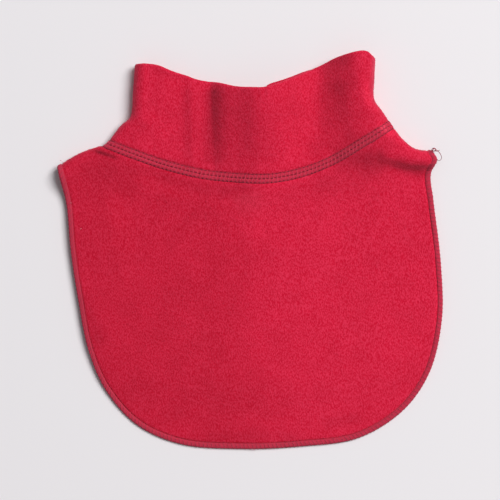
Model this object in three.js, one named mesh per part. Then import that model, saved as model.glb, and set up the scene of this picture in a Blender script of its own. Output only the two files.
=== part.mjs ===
import * as THREE from 'three';

// A child's fleece neck warmer lying flat with its front up: a stand-up collar sewn to a bib with two
// lobes.
// Lengths are in millimetres. +X is to the right seen from above, +Y is towards the collar.
// The table is z = 0.
// The whole piece is one cloth surface. A ring of stations runs round it, across the front and back
// across the back. Every station is a line down the cloth: mouth of the collar, neck seam, hem. "Level" is
// 0 at the mouth, 1 at the neck seam and 2 at the hem. Each subcomponent is a strip of this surface with a
// thickness of its own.

// Cloth, seam and hem
const BIB_CLOTH = 2.0;
const COLLAR_CLOTH = 3.2;
const SEAM_WIDTH = 6.4;
const SEAM_PROUD = 0.3;
const SEAM_CLOTH = 2.6;
const HEM_WIDTH = 3.7;
const HEM_CLOTH = 2.6;
const PIECE_GAP = 0.4;

// Heights of the front's upper face above the table
const COLLAR_HEIGHT = 20;
const SEAM_HEIGHT = 12.3;
const OVER_BACK_LOBE = 5.2;
const SEAM_FALL = 21;
const SETTLE_FROM = 5;
const SETTLE_TO = 42;

// How far in from a side fold its height still counts
const FOLD_FADE = 10;

// How far beside a crease's line the cloth bends
const CREASE_ROUND = 3;

// Number of stations and rows
const FRONT_STATIONS = 40;
const BACK_STATIONS = 28;
const FOLD_STEPS = 4;
const ROLL_STEPS = 8;

const table = (columns, rows) => {
  const names = columns.split(' ');
  return rows.map((row) => Object.fromEntries(names.map((name, i) => [name, row[i]])));
};

// Outlines seen from above, each from the left fold to the right one
const MOUTH_FRONT = table('x y', [
  [-75.7, 123.7], [-68.3, 123.7], [-60.3, 122.3], [-52.3, 119.0], [-43.0, 116.0], [-32.3, 113.0],
  [-20.3, 111.0], [-8.3, 108.3], [1.0, 107.6], [9.0, 107.5], [15.7, 108.7], [23.7, 111.7],
  [31.7, 115.0], [39.7, 118.7], [47.7, 122.7], [55.7, 126.7], [63.7, 129.3], [71.7, 130.9],
  [78.6, 131.6], [84.5, 127.7],
]);
const MOUTH_BACK = table('x y', [
  [-75.7, 123.7], [-60.3, 121.0], [-43.0, 114.6], [-20.3, 109.6], [1.0, 106.4], [9.0, 106.4],
  [13.3, 110.3], [21.0, 112.9], [28.0, 115.3], [36.0, 118.4], [47.7, 122.0], [63.7, 128.4],
  [78.6, 130.6], [84.5, 127.7],
]);
const SEAM_FRONT = table('x y', [
  [-94.7, 70.7], [-87.0, 67.5], [-71.7, 61.7], [-58.3, 57.0], [-46.3, 53.7], [-31.0, 50.3],
  [-8.3, 47.7], [13.7, 47.1], [35.0, 51.2], [55.7, 59.3], [75.7, 71.0], [87.7, 78.4], [95.0, 83.3],
]);
const SEAM_BACK = table('x y', [
  [-94.7, 70.7], [-65.7, 65.0], [-32.3, 61.3], [1.0, 61.0], [34.3, 64.3], [67.7, 73.0], [95.0, 83.3],
]);
const HEM_FRONT = table('x y', [
  [-127.7, 55.0], [-124.3, 42.3], [-121.7, 29.0], [-119.2, -0.3], [-114.2, -33.7], [-107.4, -67.2],
  [-95.9, -93.8], [-74.8, -117.1], [-45.9, -129.9], [-5.7, -133.2], [34.3, -131.6], [73.4, -125.9],
  [103.5, -107.3], [121.2, -82.0], [129.5, -46.0], [128.6, -8.3], [123.5, 33.0], [121.7, 50.3],
  [126.0, 59.7], [123.0, 65.7],
]);
const HEM_BACK = table('x y', [
  [-127.7, 55.0], [-121.5, 41.0], [-118.0, 27.0], [-115.0, -1.0], [-108.0, -34.0], [-94.0, -58.0],
  [-68.0, -73.0], [-30.0, -78.0], [10.0, -79.0], [50.0, -77.0], [86.0, -68.0], [111.0, -47.0],
  [122.0, -20.0], [123.5, 5.0], [119.5, 32.0], [117.5, 50.0], [119.0, 60.0], [123.0, 65.7],
]);

// The two side folds, where the front turns over into the back. x y: the fold's edge from above.
// edge: its height. top: the front's height where the rounding ends, reach: how far in that is.
// under: the same for the back.
const LEFT_FOLD = table('level x y edge top reach under', [
  [0.00, -75.7, 123.7, 7.0, 15.0, 7.5, 6.5],
  [0.31, -77.0, 106.3, 7.0, 15.0, 7.5, 6.5],
  [0.60, -78.6, 89.0, 6.6, 14.0, 7.5, 6.5],
  [0.77, -85.1, 82.7, 6.0, 12.0, 6.5, 6.0],
  [1.00, -94.7, 70.7, 5.4, 10.2, 6.0, 7.0],
  [1.17, -100.3, 68.6, 4.9, 9.4, 5.5, 7.0],
  [1.42, -108.3, 66.0, 4.6, 9.0, 5.0, 6.0],
  [1.67, -116.3, 62.3, 5.0, 9.5, 5.0, 5.0],
  [2.00, -127.7, 55.0, 6.0, 11.5, 5.5, 6.0],
]);
const RIGHT_FOLD = table('level x y edge top reach under', [
  [0.00, 84.5, 127.7, 10.0, 22.0, 7.0, 7.0],
  [0.28, 83.8, 113.0, 10.0, 22.0, 7.0, 7.0],
  [0.52, 83.7, 100.3, 9.5, 20.5, 7.5, 7.0],
  [0.74, 89.2, 92.0, 8.5, 17.5, 9.0, 7.0],
  [1.00, 95.2, 83.3, 7.5, 14.6, 13.0, 7.0],
  [1.14, 98.4, 78.9, 7.2, 13.8, 21.0, 7.0],
  [1.33, 103.0, 73.3, 7.0, 13.2, 17.4, 7.0],
  [1.60, 111.0, 67.3, 6.5, 12.8, 13.8, 6.5],
  [2.00, 123.0, 65.7, 6.0, 10.6, 12.4, 6.0],
]);

// The right shoulder's roll in section. out is a share of the reach, up a share of the height from its foot
// to the roll's top. The foot is the fold's edge where outer is 0, and the bib where it is 1.
const ROLL = table('out up outer', [
  [0.00, 0.00, 0], [0.05, 0.50, 0], [0.16, 0.84, 0], [0.38, 0.98, 0], [0.64, 0.99, 1], [0.86, 0.80, 1],
  [1.02, 0.44, 1], [1.18, 0.13, 1], [1.40, 0.00, 1],
]);

// Folds and hollows of the front: a line from x1 y1 to x2 y2, its height there, its half width to
// either side.
// crease is 1 where the right side starts as a crease, 0 where it is round.
const FOLDS = table('x1 y1 h1 x2 y2 h2 left right crease', [
  [-26.3, 113.0, -10.6, -24.6, 60.0, -4.4, 37.0, 7.0, 1],
  [-37.8, 114.0, 2.0, -36.5, 66.0, 1.4, 5.0, 15.0, 0],
  [6.3, 107.7, 6.0, 9.0, 46.0, 2.4, 12.0, 24.0, 0],
  [45.0, 124.0, -10.0, 43.0, 70.0, -4.5, 16.0, 13.0, 0],
  [73.0, 130.0, 8.0, 81.0, 80.0, 2.6, 11.0, 9.0, 0],
  [88.0, 75.0, 2.6, 54.0, 57.5, 3.4, 26.0, 10.0, 1],
  [-60.0, 47.0, -2.6, -24.0, 37.0, -1.2, 7.0, 10.0, 0],
  [2.0, 40.0, 1.6, 14.0, -60.0, 1.0, 10.0, 40.0, 0],
  [-94.0, 20.0, 1.8, -78.0, -72.0, 1.4, 30.0, 12.0, 0],
]);

const mix = (a, b, t) => a + (b - a) * t;
const smooth = (from, to, x) => THREE.MathUtils.smoothstep(x, from, to);

// A smooth curve through an outline's points, read by its share of length
function outline(points) {
  const curve = new THREE.CatmullRomCurve3(points.map((p) => new THREE.Vector3(p.x, p.y, 0)));
  curve.arcLengthDivisions = 600;
  return (share) => curve.getPointAt(share);
}

// A column of a fold's table at any level, by a cubic through its rows
function column(rows, name, level) {
  let k = 0;
  while (k < rows.length - 2 && level > rows[k + 1].level) k += 1;
  const [a, b] = [rows[k], rows[k + 1]];
  const before = rows[Math.max(k - 1, 0)];
  const after = rows[Math.min(k + 2, rows.length - 1)];
  const span = b.level - a.level;
  const t = (level - a.level) / span;
  const slopeA = (b[name] - before[name]) / (b.level - before.level) * span;
  const slopeB = (after[name] - a[name]) / (after.level - a.level) * span;
  const square = t * t;
  const cube = square * t;
  return a[name] * (2 * cube - 3 * square + 1) + slopeA * (cube - 2 * square + t)
    + b[name] * (3 * square - 2 * cube) + slopeB * (cube - square);
}
const section = (rows, level) => Object.fromEntries(
  Object.keys(rows[0]).map((name) => [name, column(rows, name, level)]),
);

const FRONT = { mouth: outline(MOUTH_FRONT), seam: outline(SEAM_FRONT), hem: outline(HEM_FRONT) };
const BACK = { mouth: outline(MOUTH_BACK), seam: outline(SEAM_BACK), hem: outline(HEM_BACK) };

// A line across the front or the back at one level, from the left fold to the right one, as seen from above
function crossLine(side, level, left, right) {
  const steps = 240;
  const share = level < 1 ? level : level - 1;
  const [upper, lower] = level < 1 ? [side.mouth, side.seam] : [side.seam, side.hem];
  const plain = (f) => upper(f).lerp(lower(f), share);
  const moveLeft = new THREE.Vector3(left.x, left.y, 0).sub(plain(0));
  const moveRight = new THREE.Vector3(right.x, right.y, 0).sub(plain(1));
  const points = [];
  for (let k = 0; k <= steps; k += 1) {
    const f = k / steps;
    points.push(plain(f).addScaledVector(moveLeft, (1 - f) ** 4).addScaledVector(moveRight, f ** 4));
  }
  return walk(points);
}

// A chain of points read by the distance along it
function walk(points) {
  const far = [0];
  for (let k = 1; k < points.length; k += 1) far.push(far[k - 1] + points[k].distanceTo(points[k - 1]));
  const length = far[far.length - 1];
  const at = (distance) => {
    let low = 0;
    let high = points.length - 1;
    while (high - low > 1) {
      const middle = (low + high) >> 1;
      if (far[middle] > distance) high = middle;
      else low = middle;
    }
    return points[low].clone().lerp(points[high], (distance - far[low]) / (far[high] - far[low]));
  };
  return { length, at };
}

// How far a point is inside the back lobe, below zero outside it
const LOBE = [];
for (let k = 0; k <= 80; k += 1) LOBE.push(BACK.hem(k / 80));
LOBE.push(new THREE.Vector3(150, 150, 0), new THREE.Vector3(-150, 150, 0));
function insideLobe(x, y) {
  let nearest = Infinity;
  let inside = false;
  LOBE.forEach((a, k) => {
    const b = LOBE[(k + 1) % LOBE.length];
    const [dx, dy] = [b.x - a.x, b.y - a.y];
    const t = THREE.MathUtils.clamp(((x - a.x) * dx + (y - a.y) * dy) / (dx * dx + dy * dy), 0, 1);
    nearest = Math.min(nearest, Math.hypot(x - a.x - t * dx, y - a.y - t * dy));
    if ((a.y > y) !== (b.y > y) && x < a.x + (y - a.y) / dy * dx) inside = !inside;
  });
  return inside ? nearest : -nearest;
}

// The height that one fold of the table adds at a point
function foldHeight(fold, x, y) {
  const [dx, dy] = [fold.x2 - fold.x1, fold.y2 - fold.y1];
  const length = Math.hypot(dx, dy);
  const free = ((x - fold.x1) * dx + (y - fold.y1) * dy) / length / length;
  const t = THREE.MathUtils.clamp(free, 0, 1);
  const past = (free - t) * length / 14;
  const beside = ((x - fold.x1) * -dy + (y - fold.y1) * dx) / length;
  const width = beside > 0 ? fold.right : fold.left;
  const creased = beside > 0 && fold.crease;
  const fade = creased ? (Math.hypot(beside, CREASE_ROUND) - CREASE_ROUND) / width : (beside / width) ** 2;
  return mix(fold.h1, fold.h2, t) * Math.exp(-(past ** 2) - fade);
}

// The height of the front's upper face, before the side folds are joined on
function frontHeight(x, y, level, fromSeam) {
  const folds = FOLDS.reduce((sum, fold) => sum + foldHeight(fold, x, y), 0);
  if (level < 1) return mix(COLLAR_HEIGHT, SEAM_HEIGHT, smooth(0.1, 1, level)) + folds;
  const lobe = mix(BIB_CLOTH, OVER_BACK_LOBE, smooth(-SETTLE_TO, -SETTLE_FROM, insideLobe(x, y)));
  const fall = Math.exp(-((fromSeam / SEAM_FALL) ** 2));
  return lobe + (SEAM_HEIGHT - OVER_BACK_LOBE) * fall + folds * smooth(-30, 20, y);
}

// The right front edge in section: a plain rounding on the collar, the roll on the shoulder
function rightEdge(right, level, step, bibHeight) {
  const turn = (step / ROLL_STEPS) * Math.PI / 2;
  const roll = ROLL[step];
  const rolled = smooth(1.0, 1.3, level);
  const rollHeight = mix(mix(right.edge, bibHeight, roll.outer), right.top, roll.up);
  return {
    out: right.reach * mix(1 - Math.cos(turn), roll.out, rolled),
    z: mix(right.edge + (right.top - right.edge) * Math.sin(turn), rollHeight, rolled),
  };
}

// All the ring's points at one level: the front from left to right, then the back from right to left
function ringAt(level) {
  const left = section(LEFT_FOLD, level);
  const right = section(RIGHT_FOLD, level);
  const ring = [];
  const put = (line, distance, z) => ring.push(line.at(distance).setZ(z));

  const front = crossLine(FRONT, level, left, right);
  for (let k = 0; k < FOLD_STEPS; k += 1) {
    const turn = (k / FOLD_STEPS) * Math.PI / 2;
    put(front, left.reach * (1 - Math.cos(turn)), mix(left.edge, left.top, Math.sin(turn)));
  }
  const plainHeight = (distance) => {
    const p = front.at(distance);
    const fromSeam = p.distanceTo(FRONT.seam(distance / front.length));
    return frontHeight(p.x, p.y, level, fromSeam);
  };
  const lastOut = rightEdge(right, level, ROLL_STEPS, 0).out;
  const bibHeight = plainHeight(front.length - lastOut);
  const span = front.length - left.reach - lastOut;
  const leftStep = left.top - plainHeight(left.reach);
  const rightStep = rightEdge(right, level, ROLL_STEPS, bibHeight).z - bibHeight;
  for (let k = 0; k < FRONT_STATIONS; k += 1) {
    const along = span * k / FRONT_STATIONS;
    const distance = left.reach + along;
    const z = plainHeight(distance) + leftStep * Math.exp(-((along / FOLD_FADE) ** 2))
      + rightStep * Math.exp(-(((span - along) / FOLD_FADE) ** 2));
    put(front, distance, z);
  }
  for (let k = ROLL_STEPS; k > 0; k -= 1) {
    const edge = rightEdge(right, level, k, bibHeight);
    put(front, front.length - edge.out, edge.z);
  }

  const back = crossLine(BACK, level, left, right);
  for (let k = 0; k < FOLD_STEPS; k += 1) {
    const turn = (k / FOLD_STEPS) * Math.PI / 2;
    put(back, back.length - right.under * (1 - Math.cos(turn)), right.edge * (1 - Math.sin(turn)));
  }
  for (let k = 0; k <= BACK_STATIONS; k += 1) {
    put(back, mix(back.length - right.under, left.under, k / BACK_STATIONS), 0);
  }
  for (let k = FOLD_STEPS - 1; k > 0; k -= 1) {
    const turn = (k / FOLD_STEPS) * Math.PI / 2;
    put(back, left.under * (1 - Math.cos(turn)), left.edge * (1 - Math.sin(turn)));
  }
  return ring;
}

// How much a station belongs to the front: 1 on the front, 0 on the back, in between round the folds
const FRONTNESS = [];
for (let k = 0; k < FOLD_STEPS; k += 1) FRONTNESS.push(0.5 + 0.5 * k / FOLD_STEPS);
for (let k = 0; k < FRONT_STATIONS; k += 1) FRONTNESS.push(1);
for (let k = ROLL_STEPS; k > 0; k -= 1) FRONTNESS.push(0.5 + 0.5 * k / ROLL_STEPS);
for (let k = 0; k < FOLD_STEPS; k += 1) FRONTNESS.push(0.5 - 0.5 * k / FOLD_STEPS);
for (let k = 0; k <= BACK_STATIONS; k += 1) FRONTNESS.push(0);
for (let k = FOLD_STEPS - 1; k > 0; k -= 1) FRONTNESS.push(0.5 - 0.5 * k / FOLD_STEPS);
const STATIONS = FRONTNESS.length;

// Every station's line down the cloth, in two chains: mouth to neck seam, and neck seam to hem
const LEVELS = 36;
const collarRings = [];
const bibRings = [];
for (let k = 0; k <= LEVELS; k += 1) {
  collarRings.push(ringAt(Math.min(k / LEVELS, 0.99999)));
  bibRings.push(ringAt(1 + k / LEVELS));
}
const collarLines = FRONTNESS.map((_, i) => walk(collarRings.map((ring) => ring[i])));
const bibLines = FRONTNESS.map((_, i) => walk(bibRings.map((ring) => ring[i])));

// A station's line can cross a seam at a slant. This is how much longer a width then is along the line.
function slant(i, line, rings, ring, distance) {
  const before = rings[ring][(i + STATIONS - 1) % STATIONS];
  const around = rings[ring][(i + 1) % STATIONS].clone().sub(before).normalize();
  const down = line.at(distance + 3).sub(line.at(distance)).normalize();
  return 1 / Math.max(down.cross(around).length(), 0.5);
}

// Rows of each strip, as distances down the cloth from the neck seam's middle, below zero on the collar
const spread = (from, to, shares) => shares.map((share) => mix(from, to, share));
const rows = FRONTNESS.map((_, i) => {
  const collar = collarLines[i].length;
  const bib = bibLines[i].length;
  const above = slant(i, collarLines[i], collarRings, LEVELS, collar - 3);
  const below = slant(i, bibLines[i], bibRings, 0, 0);
  const edge = slant(i, bibLines[i], bibRings, LEVELS, bib - 3);
  const beside = SEAM_WIDTH / 2;
  return {
    collar: spread(
      -(collar - COLLAR_CLOTH / 2),
      -(beside + PIECE_GAP) * above,
      [0, 0.14, 0.32, 0.52, 0.72, 0.9, 1],
    ),
    neck_seam: [-beside * above, 0, beside * below],
    bib: spread(
      (beside + PIECE_GAP) * below,
      bib - (HEM_WIDTH + PIECE_GAP) * edge,
      [0, 0.05, 0.12, 0.22, 0.35, 0.5, 0.63, 0.74, 0.84, 0.94, 1],
    ),
    hem: [bib - HEM_WIDTH * edge, bib - HEM_CLOTH / 2 * edge],
  };
});
function pointOn(i, distance) {
  return distance < 0 ? collarLines[i].at(collarLines[i].length + distance) : bibLines[i].at(distance);
}

// The outer face's points and its outward directions, for the whole surface at once
const ORDER = ['collar', 'neck_seam', 'bib', 'hem'];
const faces = FRONTNESS.map((_, i) => ORDER.flatMap((name) => rows[i][name].map((d) => pointOn(i, d))));
const ROWS = faces[0].length;
const outward = faces.map((line, i) => line.map((_, row) => {
  const around = faces[(i + 1) % STATIONS][row].clone().sub(faces[(i + STATIONS - 1) % STATIONS][row]);
  const down = line[Math.min(row + 1, ROWS - 1)].clone().sub(line[Math.max(row - 1, 0)]);
  return down.cross(around).normalize();
}));

// The two rows at a gap between pieces share one direction, so that the gap keeps its width through the
// cloth
ORDER.slice(1).forEach((name, k) => {
  const before = ORDER.slice(0, k + 1).reduce((sum, other) => sum + rows[0][other].length, 0);
  outward.forEach((line) => {
    const shared = line[before - 1].clone().add(line[before]).normalize();
    line[before - 1] = shared;
    line[before] = shared.clone();
  });
});

// A closed strip of cloth between two rows. proud is how far each row stands out on the front, and roundEnd
// names an end that is a rounded rim: 'first', 'last' or none.
function strip(name, thickness, proud, roundEnd) {
  const start = ORDER.slice(0, ORDER.indexOf(name)).reduce((sum, other) => sum + rows[0][other].length, 0);
  const count = rows[0][name].length;
  const sections = [];
  for (let i = 0; i < STATIONS; i += 1) {
    const outer = [];
    const inner = [];
    for (let row = 0; row < count; row += 1) {
      const p = faces[i][start + row];
      const n = outward[i][start + row];
      const out = proud[row] * FRONTNESS[i];
      outer.push(p.clone().addScaledVector(n, out));
      inner.push(p.clone().addScaledVector(n, out - thickness));
    }
    const rim = (row, next) => {
      const middle = outer[row].clone().lerp(inner[row], 0.5);
      const end = outer[row].clone().sub(outer[next]).normalize();
      const up = outer[row].clone().sub(middle);
      return [1, 2, 3].map((k) => middle.clone()
        .addScaledVector(up, Math.cos(k * Math.PI / 4))
        .addScaledVector(end, Math.sin(k * Math.PI / 4) * thickness / 2));
    };
    const loop = [...outer];
    if (roundEnd === 'last') loop.push(...rim(count - 1, count - 2));
    loop.push(...inner.reverse());
    if (roundEnd === 'first') {
      inner.reverse();
      loop.push(...rim(0, 1).reverse());
    }
    sections.push(loop);
  }
  return sections;
}

// Skins a ring of closed sections. The last side of a section, which faces the piece above, is cut along the
// other diagonal, so that both sides of a gap are cut alike.
function solid(sections) {
  const side = sections[0].length;
  const positions = sections.flat().flatMap((p) => [p.x, p.y, p.z]);
  const index = [];
  for (let i = 0; i < sections.length; i += 1) {
    const next = (i + 1) % sections.length;
    for (let k = 0; k < side; k += 1) {
      const [a, b] = [i * side + k, i * side + (k + 1) % side];
      const [c, d] = [next * side + k, next * side + (k + 1) % side];
      if (k < side - 1) index.push(a, b, d, a, d, c);
      else index.push(a, b, c, b, d, c);
    }
  }
  const geometry = new THREE.BufferGeometry();
  geometry.setAttribute('position', new THREE.Float32BufferAttribute(positions, 3));
  geometry.setIndex(index);
  geometry.computeVertexNormals();
  return geometry;
}

const RED = new THREE.Color(0.62, 0.02, 0.05);
const THREAD = new THREE.Color(0.5, 0.02, 0.05);
function piece(name, colour, sections) {
  const material = new THREE.MeshStandardMaterial({ color: colour, roughness: 0.95, metalness: 0 });
  const mesh = new THREE.Mesh(solid(sections), material);
  mesh.name = name;
  return mesh;
}

const part = new THREE.Group();
part.name = 'neck_warmer';
part.add(
  piece('collar', RED, strip('collar', COLLAR_CLOTH, Array(7).fill(0), 'first')),
  piece('neck_seam', THREAD, strip('neck_seam', SEAM_CLOTH, [0, SEAM_PROUD, 0], '')),
  piece('bib', RED, strip('bib', BIB_CLOTH, Array(11).fill(0), '')),
  piece('hem', THREAD, strip('hem', HEM_CLOTH, [0.6, 0.6], 'last')),
);

// The origin is the middle of the footprint, on the table
const box = new THREE.Box3().setFromObject(part);
const middle = box.getCenter(new THREE.Vector3());
part.children.forEach((mesh) => mesh.geometry.translate(-middle.x, -middle.y, -box.min.z));

export default part;
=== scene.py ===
"""A child's fleece neck warmer lying flat, front up: a doubled collar sewn to a bib with two lobes.

The whole garment is one cloth surface. Rings of points run round it, one for each level from the collar's
mouth (0) over the neck seam (1) to the hem (2), and every station of the rings is a line down the cloth.
Each piece is a strip of this surface with a thickness of its own. Tables are in millimetres, +X to the
right and +Y towards the collar.
"""

import bpy
import numpy as np
from bpy.props import FloatProperty, FloatVectorProperty, IntProperty, PointerProperty
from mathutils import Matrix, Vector


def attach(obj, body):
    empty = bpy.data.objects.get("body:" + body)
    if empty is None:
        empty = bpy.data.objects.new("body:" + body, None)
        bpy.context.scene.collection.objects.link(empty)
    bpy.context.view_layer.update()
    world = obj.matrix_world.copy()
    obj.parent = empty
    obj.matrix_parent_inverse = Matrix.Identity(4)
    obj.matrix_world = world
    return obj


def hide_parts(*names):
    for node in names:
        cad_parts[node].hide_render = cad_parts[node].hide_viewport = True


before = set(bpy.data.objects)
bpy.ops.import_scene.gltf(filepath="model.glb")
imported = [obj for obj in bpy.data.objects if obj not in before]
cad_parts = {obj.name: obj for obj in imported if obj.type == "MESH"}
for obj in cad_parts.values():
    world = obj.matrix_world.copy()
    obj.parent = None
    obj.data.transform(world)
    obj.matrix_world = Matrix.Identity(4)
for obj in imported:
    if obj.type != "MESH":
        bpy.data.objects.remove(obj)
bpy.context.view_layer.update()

bl_info = {
    "name": "Fleece Neck Warmer",
    "version": (1, 0, 0),
    "blender": (4, 5, 0),
    "location": "View3D > Sidebar > Neck Warmer",
    "description": "Builds a fleece neck warmer with a sewn collar, a bib, its seams and loose threads",
    "category": "Add Mesh",
}

MM = 0.001


# Tables

def table(columns, rows):
    """A short table with named columns, as a dict that holds one array for each column."""
    return dict(zip(columns.split(), np.array(rows, float).T))


# Outlines seen from above, each from the left fold to the right one
MOUTH_FRONT = table("x y", [
    [-75.7, 123.7], [-68.3, 123.7], [-60.3, 122.3], [-52.3, 119.0], [-43.0, 116.0], [-32.3, 113.0],
    [-20.3, 111.0], [-8.3, 108.3], [1.0, 107.6], [9.0, 107.5], [15.7, 108.7], [23.7, 111.7],
    [31.7, 115.0], [39.7, 118.7], [47.7, 122.7], [55.7, 126.7], [63.7, 129.3], [71.7, 130.9],
    [78.6, 131.6], [84.5, 127.7],
])
MOUTH_BACK = table("x y", [
    [-75.7, 123.7], [-60.3, 121.0], [-43.0, 114.6], [-20.3, 109.6], [1.0, 106.4], [9.0, 106.4],
    [13.3, 110.3], [21.0, 112.9], [28.0, 115.3], [36.0, 118.4], [47.7, 122.0], [63.7, 128.4],
    [78.6, 130.6], [84.5, 127.7],
])
SEAM_FRONT = table("x y", [
    [-94.7, 70.7], [-87.0, 67.5], [-71.7, 61.7], [-58.3, 57.0], [-46.3, 53.7], [-31.0, 50.3],
    [-8.3, 47.7], [13.7, 47.1], [35.0, 51.2], [55.7, 59.3], [75.7, 71.0], [87.7, 78.4], [95.0, 83.3],
])
SEAM_BACK = table("x y", [
    [-94.7, 70.7], [-65.7, 65.0], [-32.3, 61.3], [1.0, 61.0], [34.3, 64.3], [67.7, 73.0], [95.0, 83.3],
])
HEM_FRONT = table("x y", [
    [-127.7, 55.0], [-124.3, 42.3], [-121.7, 29.0], [-119.2, -0.3], [-114.2, -33.7], [-107.4, -67.2],
    [-95.9, -93.8], [-74.8, -117.1], [-45.9, -129.9], [-5.7, -133.2], [34.3, -131.6], [73.4, -125.9],
    [103.5, -107.3], [121.2, -82.0], [129.5, -46.0], [128.6, -8.3], [123.5, 33.0], [121.7, 50.3],
    [126.0, 59.7], [123.0, 65.7],
])
HEM_BACK = table("x y", [
    [-127.7, 55.0], [-121.5, 41.0], [-118.0, 27.0], [-115.0, -1.0], [-108.0, -34.0], [-94.0, -58.0],
    [-68.0, -73.0], [-30.0, -78.0], [10.0, -79.0], [50.0, -77.0], [86.0, -68.0], [111.0, -47.0],
    [122.0, -20.0], [123.5, 5.0], [119.5, 32.0], [117.5, 50.0], [119.0, 60.0], [123.0, 65.7],
])

# The two side folds. x y: the fold's edge from above. edge: its height. top: the front's height where the
# rounding ends, reach: how far in that is. under: the same for the back.
LEFT_FOLD = table("level x y edge top reach under", [
    [0.00, -75.7, 123.7, 7.0, 15.0, 7.5, 6.5],
    [0.31, -77.0, 106.3, 7.0, 15.0, 7.5, 6.5],
    [0.60, -78.6, 89.0, 6.6, 14.0, 7.5, 6.5],
    [0.77, -85.1, 82.7, 6.0, 12.0, 6.5, 6.0],
    [1.00, -94.7, 70.7, 5.4, 10.2, 6.0, 7.0],
    [1.17, -100.3, 68.6, 4.9, 9.4, 5.5, 7.0],
    [1.42, -108.3, 66.0, 4.6, 9.0, 5.0, 6.0],
    [1.67, -116.3, 62.3, 5.0, 9.5, 5.0, 5.0],
    [2.00, -127.7, 55.0, 6.0, 11.5, 5.5, 6.0],
])
RIGHT_FOLD = table("level x y edge top reach under", [
    [0.00, 84.5, 127.7, 10.0, 22.0, 7.0, 7.0],
    [0.28, 83.8, 113.0, 10.0, 22.0, 7.0, 7.0],
    [0.52, 83.7, 100.3, 9.5, 20.5, 7.5, 7.0],
    [0.74, 89.2, 92.0, 8.5, 17.5, 9.0, 7.0],
    [1.00, 95.2, 83.3, 7.5, 14.6, 13.0, 7.0],
    [1.14, 98.4, 78.9, 7.2, 13.8, 21.0, 7.0],
    [1.33, 103.0, 73.3, 7.0, 13.2, 17.4, 7.0],
    [1.60, 111.0, 67.3, 6.5, 12.8, 13.8, 6.5],
    [2.00, 123.0, 65.7, 6.0, 10.6, 12.4, 6.0],
])

# The right shoulder's roll in section, from the fold's edge (0) to the bib (1). out is a share of the
# reach, up a share of the height from its foot to the roll's top. The foot is the fold's edge where outer
# is 0, and the bib where it is 1.
ROLL = table("level out up outer", [
    [0.000, 0.00, 0.00, 0], [0.125, 0.05, 0.50, 0], [0.250, 0.16, 0.84, 0], [0.375, 0.38, 0.98, 0],
    [0.500, 0.64, 0.99, 1], [0.625, 0.86, 0.80, 1], [0.750, 1.02, 0.44, 1], [0.875, 1.18, 0.13, 1],
    [1.000, 1.40, 0.00, 1],
])

# Folds and hollows of the front: a line from x1 y1 to x2 y2, its height there, its half width to either
# side. crease is 1 where the right side starts as a crease, 0 where it is round.
FOLDS = table("x1 y1 h1 x2 y2 h2 left right crease", [
    [-26.3, 113.0, -10.6, -24.6, 60.0, -4.4, 37.0, 7.0, 1],
    [-37.8, 114.0, 2.0, -36.5, 66.0, 1.4, 5.0, 15.0, 0],
    [6.3, 107.7, 6.0, 9.0, 46.0, 2.4, 12.0, 24.0, 0],
    [45.0, 124.0, -10.0, 43.0, 70.0, -4.5, 16.0, 13.0, 0],
    [73.0, 130.0, 8.0, 81.0, 80.0, 2.6, 11.0, 9.0, 0],
    [88.0, 75.0, 2.6, 54.0, 57.5, 3.4, 26.0, 10.0, 1],
    [-60.0, 47.0, -2.6, -24.0, 37.0, -1.2, 7.0, 10.0, 0],
    [2.0, 40.0, 1.6, 14.0, -60.0, 1.0, 10.0, 40.0, 0],
    [-94.0, 20.0, 1.8, -78.0, -72.0, 1.4, 30.0, 12.0, 0],
])

# Painted shading, with the columns of the folds: h is how much darker the cloth is painted, as painted
# shade in creases, under the seam and the roll and along the hem, and below zero how much lighter, as a
# painted highlight
PAINTED_SHADING = table("x1 y1 h1 x2 y2 h2 left right crease", [
    [-24.0, 104.0, 0.37, -25.5, 60.0, 0.16, 5.0, 8.0, 0],
    [60.0, 108.0, 0.21, 65.0, 72.0, 0.12, 6.5, 6.5, 0],
    [24.0, 82.0, -0.07, 33.0, 66.0, -0.08, 8.0, 8.0, 0],
    [102.0, 60.0, 0.10, 115.0, 58.0, 0.08, 3.0, 3.0, 0],
    [68.0, 76.0, 0.13, 80.0, 74.0, 0.13, 6.0, 6.0, 0],
    [-40.0, 104.0, 0.07, -39.0, 80.0, 0.02, 4.0, 4.0, 0],
    [-66.0, 88.0, -0.08, -56.0, 78.0, -0.09, 9.0, 9.0, 0],
    [74.0, 104.0, -0.13, 76.0, 96.0, -0.10, 5.0, 5.0, 0],
    [60.0, 61.0, 0.25, 87.0, 60.5, 0.37, 8.5, 8.0, 0],
    [92.0, 57.0, 0.12, 115.0, 52.0, 0.30, 4.0, 4.0, 0],
    [-99.0, 64.6, 0.60, -91.0, 62.0, 0.42, 1.2, 1.6, 0],
    [7.0, 105.0, 0.12, 7.4, 99.0, 0.04, 0.8, 0.8, 0],
    [11.6, 105.0, 0.12, 12.0, 99.0, 0.04, 0.8, 0.8, 0],
    [90.0, 80.5, -0.40, 94.0, 78.0, -0.34, 3.0, 3.0, 0],
    [76.0, 112.0, -0.14, 80.0, 100.0, -0.14, 3.5, 3.5, 0],
    [126.0, 50.0, -0.11, 128.5, -50.0, -0.11, 3.0, 3.0, 0],
    [-110.0, -70.0, 0.06, -124.0, 30.0, 0.12, 3.0, 3.0, 0],
    [-3.0, 35.5, -0.20, 6.0, 2.0, -0.08, 15.0, 24.0, 0],
    [-90.0, 34.0, -0.04, 60.0, 32.0, -0.05, 16.0, 6.0, 0],
    [-110.0, -33.0, 0.13, -99.0, -60.0, 0.13, 5.0, 5.0, 0],
    [-24.0, -125.0, 0.08, 30.0, -125.0, 0.12, 4.0, 5.0, 0],
    [54.0, -117.0, 0.09, 72.0, -113.0, 0.09, 4.0, 4.0, 0],
    [89.0, 75.0, 0.14, 98.0, 70.0, 0.10, 5.0, 5.0, 0],
])

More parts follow.
